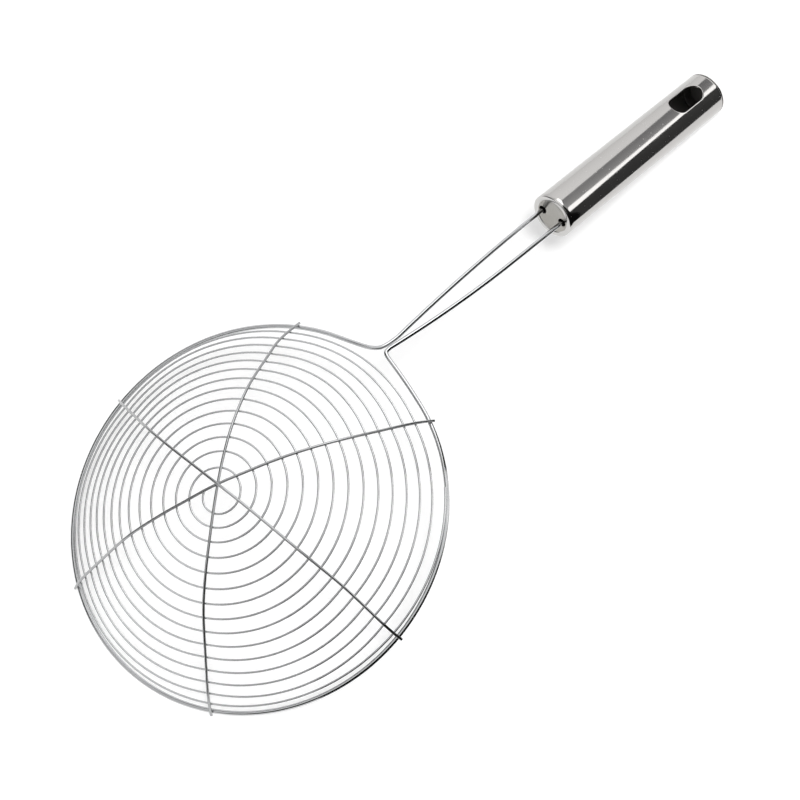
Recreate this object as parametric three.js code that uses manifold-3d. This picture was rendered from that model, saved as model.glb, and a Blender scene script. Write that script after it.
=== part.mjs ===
// Spiral-wire skimmer: a bowl of one wound wire under three cross ribs, on a wire frame and a hollow handle.
// Millimetres, +Z up. The skimmer lies dome up, on the far side of its rim and on the tail of its handle.
import * as THREE from 'three';
import { mergeVertices } from 'three/addons/utils/BufferGeometryUtils.js';
import Module from 'manifold-3d';

const wasm = await Module();
wasm.setup();

// Clearances between neighbouring pieces
const fitGap = 0.3;
const ribCrossingGap = 0.4;
const legHoleClearance = 1.3;

// Bowl
const rimRadius = 100;
const rimWire = 2.3;
const ribWire = 1.4;
const spiralWire = 1.1;
const bowlDepth = 50.5;
const ribOverhang = 1.5;
const ribCrossingReach = 22;
const ribCrownBlend = 20;
const ribFlattening = 2;
const ribFlatFrom = 50;
const spiralStartRadius = 8;
const spiralTurns = 14.46;
const spiralClosing = 1.3;
const spiralLeadOut = 1.9;
const spiralLeadTurns = 0.2;
const spiralOffset = 2.2;
const spiralOffsetAngle = 195;
const spiralBow = 1;
const spiralBowFrom = 7;
const spiralBowFull = 10;
const spiralBowFade = 1;

// Ribs from the lowest to the highest at the crown, by the angles of their two ends, counted from the neck
const ribs = [
  { name: 'lower_rib', ends: [27.8, 208.2] },
  { name: 'middle_rib', ends: [148.1, 333.9] },
  { name: 'top_rib', ends: [89.1, 268.6] },
];
const spiralStartAngle = ribs[1].ends[0];

// Neck and legs
const neckRadius = 105.8;
const neckWireGap = 0.4;
const neckBendLength = 6;
const upperJoinAngle = 6.5;
const lowerJoinAngle = 4.5;
const upperBendLength = 7;
const lowerBendLength = 4.5;
const handleKink = 28.4;
const legLength = 128.4;
const legSpacing = 13.2;
const upperSplayLength = 124;
const lowerSplayLength = 84;

// Handle
const tubeDiameter = 25;
const tubeWall = 1;
const tubeLength = 130.9;
const tubeEdge = 0.5;
const slotLength = 23.8;
const slotWidth = 11.5;
const slotFromTubeEnd = 9.4;
const slotTurn = 6;
const spigotLength = 5;
const capWall = 1.2;
const capProud = 0.9;
const capLipWidth = 1.7;
const capLipRound = 0.4;
const capFaceSink = 0.5;
const tailCapLength = 1.2;
const tailCapRound = 0.8;
const anchorFromFront = 16;
const anchorLength = 8;
const legPastAnchor = 2;

// Facets
const wireSides = 8;
const spiralSides = 6;
const spiralSteps = 500;
const spiralStepPower = 0.8;
const ribSteps = 40;
const rimSteps = 84;
const bendSteps = 8;
const legSteps = 10;
const roundSteps = 4;
const turnedSteps = 48;
const slotSteps = 10;
const holeSteps = 20;
const tiltSteps = 60;

// Places that follow from the sizes
const radians = THREE.MathUtils.degToRad;
const rimCentre = rimRadius - rimWire / 2;
const rimToRib = rimWire / 2 + ribWire / 2 + fitGap;
const ribSphere = (rimCentre ** 2 + bowlDepth ** 2 - rimToRib ** 2) / (2 * (bowlDepth - rimToRib));
const bowlCentre = bowlDepth - ribSphere;
const rimSphere = ribSphere - rimToRib;
const rimPolar = Math.asin(rimCentre / rimSphere);
const spiralSphere = ribSphere - ribWire / 2 - spiralWire / 2 - fitGap;
const tubeRadius = tubeDiameter / 2;
const tubeBore = tubeRadius - tubeWall;
const spigotRadius = tubeBore - fitGap;
const kink = radians(handleKink);
const neck = new THREE.Vector3(neckRadius, 0, 0);
const handleAxis = new THREE.Vector3(Math.cos(kink), 0, -Math.sin(kink));
const legHalf = legSpacing / 2;
const neckHalf = (rimWire + neckWireGap) / 2;
const legDepth = anchorFromFront + anchorLength + legPastAnchor;

// A closed tube of flat-ended round wire along a list of points.
function wireAlong(points, diameter, sides) {
  const positions = [];
  const indices = [];
  const last = points.length - 1;
  const tangent = new THREE.Vector3().subVectors(points[1], points[0]).normalize();
  const normal = new THREE.Vector3(0, 0, 1).cross(tangent);
  const binormal = new THREE.Vector3();
  points.forEach((point, i) => {
    tangent.subVectors(points[Math.min(i + 1, last)], points[Math.max(i - 1, 0)]).normalize();
    normal.addScaledVector(tangent, -normal.dot(tangent)).normalize();
    binormal.crossVectors(tangent, normal);
    for (let side = 0; side < sides; side += 1) {
      const turn = (2 * Math.PI * side) / sides;
      const corner = point.clone();
      corner.addScaledVector(normal, (Math.cos(turn) * diameter) / 2);
      corner.addScaledVector(binormal, (Math.sin(turn) * diameter) / 2);
      positions.push(corner.x, corner.y, corner.z);
    }
  });
  for (let ring = 0; ring < last; ring += 1) {
    for (let side = 0; side < sides; side += 1) {
      const here = ring * sides + side;
      const beside = ring * sides + ((side + 1) % sides);
      indices.push(here, beside, here + sides);
      indices.push(beside, beside + sides, here + sides);
    }
  }
  for (let side = 1; side < sides - 1; side += 1) {
    indices.push(0, side + 1, side);
    indices.push(last * sides, last * sides + side, last * sides + side + 1);
  }
  const geometry = new THREE.BufferGeometry();
  geometry.setAttribute('position', new THREE.Float32BufferAttribute(positions, 3));
  geometry.setIndex(indices);
  return geometry;
}

// A turned solid from a profile of radius and height, with its axis along Z.
function turned(profile) {
  return new THREE.LatheGeometry(profile, turnedSteps).rotateX(Math.PI / 2);
}

// Points of a quarter round about a centre, between two angles in degrees.
function roundCorner(x, y, radius, from, to) {
  const points = [];
  for (let step = 0; step <= roundSteps; step += 1) {
    const angle = radians(from + ((to - from) * step) / roundSteps);
    points.push(new THREE.Vector2(x + radius * Math.cos(angle), y + radius * Math.sin(angle)));
  }
  return points;
}

function toSolid(geometry) {
  const bare = geometry.clone();
  bare.deleteAttribute('normal');
  bare.deleteAttribute('uv');
  const merged = mergeVertices(bare);
  return new wasm.Manifold(new wasm.Mesh({
    numProp: 3,
    vertProperties: new Float32Array(merged.attributes.position.array),
    triVerts: new Uint32Array(merged.index.array),
  }));
}

function cut(geometry, cutters) {
  const result = cutters.reduce((solid, cutter) => solid.subtract(toSolid(cutter)), toSolid(geometry));
  const mesh = result.getMesh();
  const cutGeometry = new THREE.BufferGeometry();
  cutGeometry.setAttribute('position', new THREE.BufferAttribute(new Float32Array(mesh.vertProperties), 3));
  cutGeometry.setIndex(new THREE.BufferAttribute(new Uint32Array(mesh.triVerts), 1));
  return cutGeometry;
}

// The pair of round bores that the two legs pass through, along the handle.
function legBores(diameter) {
  const length = 2 * legDepth;
  return [-legHalf, legHalf].map((y) => {
    const bore = new THREE.CylinderGeometry(diameter / 2, diameter / 2, length, holeSteps);
    return bore.rotateX(Math.PI / 2).translate(0, y, anchorFromFront);
  });
}

function piece(name, geometry, color, roughness) {
  const material = new THREE.MeshStandardMaterial({ color, roughness, metalness: 1 });
  const mesh = new THREE.Mesh(geometry, material);
  mesh.name = name;
  return mesh;
}

// One half of the wire frame, from the leg's end in the handle to the rim. Side is 1 or -1, for +Y or -Y.
function halfFrame(side, splayLength, joinAngle, bendLength) {
  const onHandle = (along, across) => {
    const point = neck.clone().addScaledVector(handleAxis, along);
    point.y = side * across;
    return point;
  };
  const points = [onHandle(legLength + legDepth, legHalf)];
  for (let step = legSteps; step > 0; step -= 1) {
    const share = step / legSteps;
    const across = neckHalf + (legHalf - neckHalf) * (1 - (1 - share) ** 2);
    points.push(onHandle(neckBendLength + splayLength * share, across));
  }
  const join = radians(joinAngle);
  const onRim = new THREE.Vector3(rimCentre * Math.cos(join), side * rimCentre * Math.sin(join), 0);
  const alongRim = new THREE.Vector3(Math.sin(join), -side * Math.cos(join), 0);
  const bend = new THREE.CubicBezierCurve3(
    onHandle(neckBendLength, neckHalf),
    onHandle(0, neckHalf),
    onRim.clone().addScaledVector(alongRim, bendLength),
    onRim,
  );
  return points.concat(bend.getPoints(bendSteps));
}

function rimFrame() {
  const points = halfFrame(1, upperSplayLength, upperJoinAngle, upperBendLength);
  const sweep = 360 - upperJoinAngle - lowerJoinAngle;
  for (let step = 1; step < rimSteps; step += 1) {
    const angle = radians(upperJoinAngle + (sweep * step) / rimSteps);
    points.push(new THREE.Vector3(rimCentre * Math.cos(angle), rimCentre * Math.sin(angle), 0));
  }
  points.push(...halfFrame(-1, lowerSplayLength, lowerJoinAngle, lowerBendLength).reverse());
  return wireAlong(points, rimWire, wireSides);
}

// A point over the dome, by its plan, the radius of its sphere and a lift above it.
// Towards the rim the dome is a little flatter than a sphere.
function onDome(plan, sphere, lift) {
  const sine = plan.length() / sphere;
  const polar = Math.asin(sine);
  const flatFrom = ribFlatFrom / ribSphere;
  const share = THREE.MathUtils.clamp((polar - flatFrom) / (rimPolar - flatFrom), 0, 1);
  const radius = sphere + lift - ribFlattening * Math.sin(Math.PI * share) ** 2;
  const outwards = plan.clone().multiplyScalar(radius / sphere);
  return new THREE.Vector3(outwards.x, outwards.y, bowlCentre + radius * Math.cos(polar));
}

// The unit direction at an angle in degrees, counted from the neck.
function heading(angle) {
  return new THREE.Vector2(Math.cos(radians(angle)), Math.sin(radians(angle)));
}

// A rib runs over the dome from one end angle to the other, and rises at the crown over the ribs below it.
function ribPoints(ends, level) {
  const [first, second] = ends.map(heading);
  const halfRun = second.clone().sub(first).divideScalar(2);
  const halfBend = second.clone().add(first).divideScalar(2);
  const endPolar = rimPolar + ribOverhang / ribSphere;
  const reach = Math.sqrt((ribSphere * Math.sin(endPolar)) ** 2 - halfBend.lengthSq() * ribCrownBlend ** 2);
  const points = [];
  for (let step = 0; step <= ribSteps; step += 1) {
    const run = (reach * Math.sin(endPolar * ((2 * step) / ribSteps - 1))) / Math.sin(endPolar);
    const plan = halfRun.clone().multiplyScalar(run);
    plan.addScaledVector(halfBend, Math.hypot(run, ribCrownBlend));
    const nearCrown = Math.max(0, 1 - Math.abs(run) / ribCrossingReach);
    const lift = level * (ribWire + ribCrossingGap) * Math.sin((Math.PI / 2) * nearCrown) ** 2;
    points.push(onDome(plan, ribSphere, lift));
  }
  return points;
}

// How far an angle lies between its two neighbouring rib ends: 0 at a rib, 1 midway.
function betweenRibs(angle) {
  const turn = THREE.MathUtils.euclideanModulo(angle, 360);
  const ends = ribs.flatMap((rib) => rib.ends).sort((a, b) => a - b);
  const after = ends.find((end) => end > turn) ?? ends[0] + 360;
  const before = ends.findLast((end) => end <= turn) ?? ends.at(-1) - 360;
  return Math.sin((Math.PI * (turn - before)) / (after - before));
}

// The spiral winds over the inside of the ribs from a start a little off the bowl's axis.
// Its turns close up towards the rim, the outer ones bow between the ribs, and its end leads out to the rim.
function spiralPoints() {
  const { smoothstep } = THREE.MathUtils;
  const rimReach = rimWire / 2 + spiralWire / 2 + fitGap;
  const twiceProduct = 2 * spiralSphere * rimSphere;
  const toRim = Math.acos((spiralSphere ** 2 + rimSphere ** 2 - rimReach ** 2) / twiceProduct);
  const startArc = spiralSphere * Math.asin(spiralStartRadius / spiralSphere);
  const endArc = spiralSphere * (rimPolar - toRim);
  const woundArc = endArc - spiralLeadOut - startArc;
  const startPitch = woundArc / spiralTurns + spiralClosing / 4;
  const points = [];
  for (let step = 0; step <= spiralSteps; step += 1) {
    const share = (step / spiralSteps) ** spiralStepPower;
    const turns = spiralTurns * share;
    const angle = spiralStartAngle + 360 * turns;
    const leadOut = spiralLeadOut * smoothstep(turns, spiralTurns - spiralLeadTurns, spiralTurns);
    const arc = startArc + turns * (startPitch - (spiralClosing / 4) * share ** 3) + leadOut;
    const fadeIn = smoothstep(turns, spiralBowFrom, spiralBowFull);
    const fadeOut = smoothstep(spiralTurns - turns, spiralLeadTurns, spiralLeadTurns + spiralBowFade);
    const bow = spiralBow * fadeIn * fadeOut * betweenRibs(angle);
    const plan = heading(angle).multiplyScalar(spiralSphere * Math.sin(arc / spiralSphere));
    plan.addScaledVector(heading(spiralOffsetAngle), spiralOffset * (1 - share));
    const point = onDome(plan, spiralSphere, 0);
    point.x += bow * Math.cos(radians(angle));
    point.y += bow * Math.sin(radians(angle));
    points.push(point);
  }
  return points;
}

// The least gap between points of the spiral that lie more than half a turn apart along the wire.
function leastSelfGap(points) {
  let least = Infinity;
  points.forEach((point, i) => {
    const halfTurn = Math.PI * Math.hypot(point.x, point.y);
    let along = 0;
    for (let j = i + 1; j < points.length; j += 1) {
      along += points[j].distanceTo(points[j - 1]);
      if (along > halfTurn) {
        least = Math.min(least, points[j].distanceTo(point) - spiralWire);
      }
    }
  });
  return least;
}

// The hang slot is turned a little about the handle, so it opens up and towards -Y.
function handleTube() {
  const bore = new THREE.Vector2(tubeBore, 0);
  const profile = [
    bore,
    ...roundCorner(tubeRadius - tubeEdge, tubeEdge, tubeEdge, -90, 0),
    ...roundCorner(tubeRadius - tubeEdge, tubeLength - tubeEdge, tubeEdge, 0, 90),
    new THREE.Vector2(tubeBore, tubeLength),
    bore,
  ];
  const end = slotWidth / 2;
  const straight = slotLength / 2 - end;
  const outline = new THREE.Shape();
  outline.absarc(straight, 0, end, -Math.PI / 2, Math.PI / 2);
  outline.absarc(-straight, 0, end, Math.PI / 2, (3 * Math.PI) / 2);
  const depth = 2 * tubeDiameter;
  const slot = new THREE.ExtrudeGeometry(outline, { depth, bevelEnabled: false, curveSegments: slotSteps });
  slot.translate(0, 0, -depth / 2).rotateY(Math.PI / 2).rotateZ(radians(slotTurn));
  slot.translate(0, 0, tubeLength - slotFromTubeEnd - slotLength / 2);
  return cut(turned(profile), [slot]);
}

function frontCap() {
  const face = capFaceSink - capProud;
  const lipInside = tubeRadius - capLipWidth;
  const back = face + capWall;
  const profile = [
    new THREE.Vector2(0, face),
    new THREE.Vector2(lipInside, face),
    ...roundCorner(lipInside + capLipRound, capLipRound - capProud, capLipRound, 180, 270),
    ...roundCorner(tubeRadius - capLipRound, capLipRound - capProud, capLipRound, -90, 0),
    new THREE.Vector2(tubeRadius, -fitGap),
    new THREE.Vector2(spigotRadius, -fitGap),
    new THREE.Vector2(spigotRadius, spigotLength),
    new THREE.Vector2(spigotRadius - capWall, spigotLength),
    new THREE.Vector2(spigotRadius - capWall, back),
    new THREE.Vector2(0, back),
  ];
  return cut(turned(profile), legBores(rimWire + 2 * legHoleClearance));
}

function legAnchor() {
  const profile = [
    new THREE.Vector2(0, anchorFromFront),
    new THREE.Vector2(spigotRadius, anchorFromFront),
    new THREE.Vector2(spigotRadius, anchorFromFront + anchorLength),
    new THREE.Vector2(0, anchorFromFront + anchorLength),
  ];
  return cut(turned(profile), legBores(rimWire + 2 * fitGap));
}

function tailCap() {
  const end = tubeLength + tailCapLength;
  const inside = end - capWall;
  const spigotEnd = tubeLength - spigotLength;
  return turned([
    new THREE.Vector2(0, inside),
    new THREE.Vector2(spigotRadius - capWall, inside),
    new THREE.Vector2(spigotRadius - capWall, spigotEnd),
    new THREE.Vector2(spigotRadius, spigotEnd),
    new THREE.Vector2(spigotRadius, tubeLength + fitGap),
    new THREE.Vector2(tubeRadius, tubeLength + fitGap),
    ...roundCorner(tubeRadius - tailCapRound, end - tailCapRound, tailCapRound, 0, 90),
    new THREE.Vector2(0, end),
  ]);
}

// The tilt of the rim plane at which the rim's far side and the tail cap's edge both touch the table.
function restTilt() {
  const edgeAlong = legLength + tubeLength + tailCapLength - tailCapRound;
  const edgeCentre = neck.clone().addScaledVector(handleAxis, edgeAlong);
  const rimAboveTail = (tilt) => {
    const up = new THREE.Vector3(Math.sin(tilt), 0, Math.cos(tilt));
    const edgeDrop = (tubeRadius - tailCapRound) * Math.sqrt(1 - up.dot(handleAxis) ** 2);
    const tailLow = up.dot(edgeCentre) - edgeDrop - tailCapRound;
    const rimLow = -rimCentre * Math.sin(tilt) - rimWire / 2;
    return rimLow - tailLow;
  };
  let low = 0;
  let high = Math.PI / 2;
  for (let step = 0; step < tiltSteps; step += 1) {
    const middle = (low + high) / 2;
    if (rimAboveTail(middle) > 0) {
      low = middle;
    } else {
      high = middle;
    }
  }
  return low;
}

const bowl = new THREE.Group();
bowl.add(piece('rim_frame', rimFrame(), '#c4c6c7', 0.14));
const spiral = spiralPoints();
bowl.add(piece('spiral_wire', wireAlong(spiral, spiralWire, spiralSides), '#b9bbbc', 0.18));
ribs.forEach((rib, level) => {
  bowl.add(piece(rib.name, wireAlong(ribPoints(rib.ends, level), ribWire, wireSides), '#c0c2c3', 0.16));
});

const handle = new THREE.Group();
handle.position.copy(neck).addScaledVector(handleAxis, legLength);
handle.rotation.y = Math.PI / 2 + kink;
handle.add(piece('handle_tube', handleTube(), '#c8cacb', 0.1));
handle.add(piece('front_cap', frontCap(), '#a9abac', 0.22));
handle.add(piece('tail_cap', tailCap(), '#c8cacb', 0.1));
handle.add(piece('leg_anchor', legAnchor(), '#8e9091', 0.4));

const skimmer = new THREE.Group();
skimmer.name = 'skimmer';
skimmer.add(bowl, handle);
skimmer.rotation.y = -restTilt();
skimmer.updateMatrixWorld(true);
const bounds = new THREE.Box3().setFromObject(skimmer, true);
const middle = bounds.getCenter(new THREE.Vector3());
skimmer.position.set(-middle.x, -middle.y, -bounds.min.z);

console.log('least gap between turns of the spiral:', leastSelfGap(spiral).toFixed(2), 'mm');

export default skimmer;
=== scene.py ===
"""Looks of a spiral-wire skimmer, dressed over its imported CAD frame. Metres, +Z up."""

import logging
import math
from dataclasses import dataclass, replace
from enum import Enum
from typing import Callable, Sequence

import bmesh
import bpy
from mathutils import Matrix, Vector


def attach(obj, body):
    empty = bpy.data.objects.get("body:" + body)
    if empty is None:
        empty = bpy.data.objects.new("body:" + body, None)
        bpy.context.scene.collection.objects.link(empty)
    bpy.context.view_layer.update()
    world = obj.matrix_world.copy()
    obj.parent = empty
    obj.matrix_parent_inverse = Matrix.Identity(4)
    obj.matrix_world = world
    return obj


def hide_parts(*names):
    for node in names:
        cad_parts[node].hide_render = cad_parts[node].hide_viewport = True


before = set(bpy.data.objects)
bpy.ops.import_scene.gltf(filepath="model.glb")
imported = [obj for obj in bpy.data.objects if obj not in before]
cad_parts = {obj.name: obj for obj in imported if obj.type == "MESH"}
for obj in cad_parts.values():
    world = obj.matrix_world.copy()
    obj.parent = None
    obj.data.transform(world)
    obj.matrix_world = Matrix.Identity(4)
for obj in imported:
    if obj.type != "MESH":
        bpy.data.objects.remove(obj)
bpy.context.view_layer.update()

MM = 0.001
BODY = "root"
# Points nearer than this are merged.
MERGE_DISTANCE = 0.001 * MM
# Faces that meet at less than this are shaded as one surface.
SMOOTH_ANGLE = math.radians(35)
# Edges with more than this between their faces are rounded.
SHARP_ANGLE = math.radians(40)
# Facets across a rounded edge.
EDGE_STEPS = 3
# Round of a wire's end, as a share of its diameter.
WIRE_END_ROUND = 0.3
WHITE = "FFFFFF"

log = logging.getLogger("skimmer")

Path3 = list[Vector]
Point2 = tuple[float, float]
Point3 = tuple[float, float, float]
Corners = tuple[Point3, ...]
Colour = tuple[float, float, float, float]
PlaceTest = Callable[[float, float], bool]


class Slot(Enum):
    """Material slots of the record."""

    RIM = "rim_wire"
    SPIRAL = "spiral_wire"
    RIB = "rib_wire"
    HANDLE = "handle_steel"
    CAP = "cap_steel"
    ANCHOR = "anchor_steel"


def linear(hex_code: str) -> Colour:
    """Turns an sRGB hex colour to linear light.

    Args:
        hex_code: Six hex digits.

    Returns:
        Linear red, green, blue and an alpha of 1.
    """
    shares = [int(hex_code[i : i + 2], 16) / 255 for i in (0, 2, 4)]
    red, green, blue = (s / 12.92 if s <= 0.04045 else ((s + 0.055) / 1.055) ** 2.4 for s in shares)
    return red, green, blue, 1.0


def smoothstep(value: float, low: float, high: float) -> float:
    """Eases from 0 at low to 1 at high."""
    share = min(1.0, max(0.0, (value - low) / (high - low)))
    return share * share * (3 - 2 * share)


def add_node(
    tree: bpy.types.NodeTree,
    kind: str,
    settings: dict[str, object] | None = None,
    inputs: dict[str | int, object] | None = None,
) -> bpy.types.Node:
    """Adds a node with its settings, values and links.

    Args:
        tree: Node tree that takes the node.
        kind: Node type after "ShaderNode".
        settings: Properties of the node.
        inputs: For each input, a value or the output socket that feeds it.

    Returns:
        The new node.
    """
    node = tree.nodes.new(f"ShaderNode{kind}")
    for name, value in (settings or {}).items():
        setattr(node, name, value)
    for name, value in (inputs or {}).items():
        if isinstance(value, bpy.types.NodeSocket):
            tree.links.new(value, node.inputs[name])
        else:
            node.inputs[name].default_value = value
    return node


def new_material(name: str) -> tuple[bpy.types.Material, bpy.types.NodeTree]:
    """Makes an empty node material.

    Args:
        name: Name of the material.

    Returns:
        The material and its node tree.
    """
    material = bpy.data.materials.new(name)
    material.use_nodes = True
    material.node_tree.nodes.clear()
    return material, material.node_tree


@dataclass(frozen=True)
class PolishedSteel:
    """Stainless steel, drawn or rolled and then polished to a near mirror.

    The eye gets a bright mirror with a slight waviness, and a few dull specks that scatter light.
    """

    name: str
    colour: str
    roughness: float
    roughness_spread: float = 0.04
    smudge_mm: float = 9
    smudge_detail: float = 4
    smudge_range: Point2 = (0.3, 0.7)
    wave_mm: float = 5
    wave_detail: float = 1
    wave_height_mm: float = 0.004
    speck_mm: float = 5
    speck_reach: float = 0.08
    speck_core: float = 0.6
    speck_roughness: float = 0.4

    def material(self) -> bpy.types.Material:
        """Makes the node material.

        Returns:
            The finished material.
        """
        material, tree = new_material(self.name)
        place = add_node(tree, "TexCoord").outputs["Object"]
        smudge = add_node(
            tree,
            "TexNoise",
            inputs={"Vector": place, "Scale": 1 / (self.smudge_mm * MM), "Detail": self.smudge_detail},
        )
        polish = add_node(
            tree,
            "MapRange",
            inputs={
                "Value": smudge.outputs["Fac"],
                "From Min": self.smudge_range[0],
                "From Max": self.smudge_range[1],
                "To Min": self.roughness - self.roughness_spread,
                "To Max": self.roughness + self.roughness_spread,
            },
        )
        cells = add_node(
            tree,
            "TexVoronoi",
            inputs={"Vector": place, "Scale": 1 / (self.speck_mm * MM), "Randomness": 1.0},
        )
        speck = add_node(
            tree,
            "MapRange",
            {"interpolation_type": "SMOOTHSTEP"},
            {
                "Value": cells.outputs["Distance"],
                "From Min": self.speck_core * self.speck_reach,
                "From Max": self.speck_reach,
                "To Min": 1.0,
                "To Max": 0.0,
            },
        )
        rough = add_node(
            tree,
            "Mix",
            {"data_type": "FLOAT"},
            {
                "Factor": speck.outputs["Result"],
                "A": polish.outputs["Result"],
                "B": self.speck_roughness,
            },
        )
        wave = add_node(
            tree,
            "TexNoise",
            inputs={"Vector": place, "Scale": 1 / (self.wave_mm * MM), "Detail": self.wave_detail},
        )
        bump = add_node(
            tree,
            "Bump",
            inputs={
                "Height": wave.outputs["Fac"],
                "Distance": self.wave_height_mm * MM,
                "Strength": 1.0,
            },
        )
        shader = add_node(
            tree,
            "BsdfPrincipled",
            inputs={
                "Base Color": linear(self.colour),
                "Metallic": 1.0,
                "Roughness": rough.outputs["Result"],
                "Normal": bump.outputs["Normal"],
            },
        )
        add_node(tree, "OutputMaterial", inputs={"Surface": shader.outputs["BSDF"]})
        return material


# Cold-drawn stainless wire, polished: a bright line along the wire between two dark ones.
RIM_STEEL = PolishedSteel("drawn_rim_wire_polished", "C9CACB", roughness=0.12)
# The same, drawn thinner and polished less: the line is softer.
SPIRAL_STEEL = PolishedSteel("drawn_spiral_wire_polished", "D6D7D8", roughness=0.16)
# The same, a little greyer, which sets the ribs off from the wound wire.
RIB_STEEL = PolishedSteel("drawn_rib_wire_polished", "B0B1B2", roughness=0.14)
# Rolled tube, buffed: sharp bands that wave a little, and specks that buffing leaves.
# Real specks are finer, and are drawn as coarse as they need to show.
TUBE_STEEL = PolishedSteel(
    "rolled_tube_mirror_polished",
    "C3C1BF",
    roughness=0.1,
    roughness_spread=0.03,
    smudge_mm=14,
    wave_mm=18,
    wave_height_mm=0.012,
    speck_mm=2.6,
    speck_reach=0.1,
    speck_roughness=0.5,
)
# Pressed sheet, buffed on the bead: a bright ring.
LIP_STEEL = PolishedSteel(
    "pressed_cap_polished_lip",
    "D0CFCD",
    roughness=0.16,
    smudge_mm=6,
    wave_mm=6,
    speck_mm=4,
    speck_reach=0.07,
)
# The same sheet as it leaves the press: an even satin grey.
CAP_STEEL = replace(
    LIP_STEEL,
    name="pressed_cap_satin_face",
    colour="A9A7A2",
    roughness=0.24,
    roughness_spread=0.05,
    speck_roughness=0.5,
)
# Bar, turned and left plain: dull, with hardly a highlight.
ANCHOR_STEEL = replace(
    LIP_STEEL,
    name="turned_plug_plain",
    colour="A9A9A8",
    roughness=0.4,
    roughness_spread=0.06,
    smudge_mm=3,
    wave_mm=4,
    wave_height_mm=0.003,
    speck_roughness=0.6,
)
# Inside of the tube with its mill skin left on: matt, and darker than such steel is, as painted shade
# for the shade inside the tube.
BORE_STEEL = replace(
    LIP_STEEL,
    name="tube_inside_mill_painted_shade",
    colour="747270",
    roughness=0.6,
    roughness_spread=0.08,
    smudge_mm=5,
    speck_roughness=0.8,
)


def only(obj: bpy.types.Object) -> None:
    """Makes one object the only selected and the active one.

    Args:
        obj: The object.
    """
    bpy.ops.object.select_all(action="DESELECT")
    obj.select_set(True)
    bpy.context.view_layer.objects.active = obj


def apply_modifiers(obj: bpy.types.Object) -> None:
    """Applies every modifier of an object in order.

    Args:
        obj: The object.
    """
    only(obj)
    for name in [modifier.name for modifier in obj.modifiers]:
        bpy.ops.object.modifier_apply(modifier=name)


def smooth(obj: bpy.types.Object) -> None:
    """Shades an object smooth, with sharp corners kept."""
    only(obj)
    bpy.ops.object.shade_smooth_by_angle(angle=SMOOTH_ANGLE)


def settle(obj: bpy.types.Object, slot: Slot, node: str, *finishes: bpy.types.Material) -> None:
    """Dresses a finished piece and puts it in the CAD node's stead.

    Args:
        obj: The finished piece.
        slot: Material slot of the record; not used.
        node: CAD node that the piece stands for.
        finishes: Materials in the order of the piece's material slots.
    """
    slots = obj.data.materials
    for i, finish in enumerate(finishes):
        if i < len(slots):
            slots[i] = finish
        else:
            slots.append(finish)
    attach(obj, BODY)
    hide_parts(node)
    obj.data.calc_loop_triangles()
    log.info("%s: %d triangles, for %s", obj.name, len(obj.data.loop_triangles), node)


def mark_faces(obj: bpy.types.Object, finish: int, picked: PlaceTest) -> None:
    """Gives the faces of a turned piece that pass a test another of its finishes.

    Args:
        obj: Piece about the origin, with its axis along Z.
        finish: Number of the finish in the piece's material slots.
        picked: Tells from the radius and height of a face's centre, in mm, whether it takes the finish.
    """
    while len(obj.data.materials) <= finish:
        obj.data.materials.append(None)
    for face in obj.data.polygons:
        if picked(face.center.xy.length / MM, face.center.z / MM):
            face.material_index = finish


def round_edges(obj: bpy.types.Object, radius: float, picked: PlaceTest) -> None:
    """Rounds the sharp edges of a tube that pass a test.

    Args:
        obj: Piece about the origin, with its axis along Z.
        radius: Radius of the rounded edge in mm.
        picked: Tells from the radius and height of an edge's middle, in mm, whether it is rounded.
    """
    only(obj)
    bpy.ops.object.mode_set(mode="EDIT")
    bpy.ops.mesh.select_mode(type="EDGE")
    bpy.ops.mesh.select_all(action="DESELECT")
    edit = bmesh.from_edit_mesh(obj.data)
    for edge in edit.edges:
        middle = (edge.verts[0].co + edge.verts[1].co) / 2
        if edge.calc_face_angle(0.0) > SHARP_ANGLE and picked(middle.xy.length / MM, middle.z / MM):
            edge.select_set(True)
    bmesh.update_edit_mesh(obj.data)
    bpy.ops.mesh.bevel(offset=radius * MM, segments=EDGE_STEPS, affect="EDGES", clamp_overlap=True)
    bpy.ops.object.mode_set(mode="OBJECT")


def round_wire(name: str, path: Path3, diameter: float, ring: int) -> bpy.types.Object:
    """Draws a round wire along a path and makes it a closed mesh with rounded ends.

    Args:
        name: Name of the piece.
        path: Points of the wire's centre line, in metres.
        diameter: Diameter of the wire in metres.
        ring: Bevel resolution of the round section.

    Returns:
        The mesh object.
    """
    curve = bpy.data.curves.new(name, "CURVE")
    curve.dimensions = "3D"
    curve.bevel_depth = diameter / 2
    curve.bevel_resolution = ring
    curve.use_fill_caps = True
    spline = curve.splines.new("POLY")
    spline.points.add(len(path) - 1)
    for point, place in zip(spline.points, path):
        point.co = (*place, 1.0)
    obj = bpy.data.objects.new(name, curve)
    bpy.context.scene.collection.objects.link(obj)
    only(obj)
    bpy.ops.object.convert(target="MESH")
    obj = bpy.context.active_object
    bpy.ops.object.mode_set(mode="EDIT")
    bpy.ops.mesh.select_all(action="SELECT")
    bpy.ops.mesh.remove_doubles(threshold=MERGE_DISTANCE)
    bpy.ops.mesh.normals_make_consistent(inside=False)
    bpy.ops.mesh.select_all(action="DESELECT")
    edit = bmesh.from_edit_mesh(obj.data)
    # The sides are quads, so only the two end faces have more corners.
    for face in edit.faces:
        if len(face.verts) > 4:
            face.select_set(True)
    bmesh.update_edit_mesh(obj.data)
    bpy.ops.mesh.bevel(offset=WIRE_END_ROUND * diameter, segments=EDGE_STEPS, affect="EDGES")
    bpy.ops.object.mode_set(mode="OBJECT")
    smooth(obj)
    return obj


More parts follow.
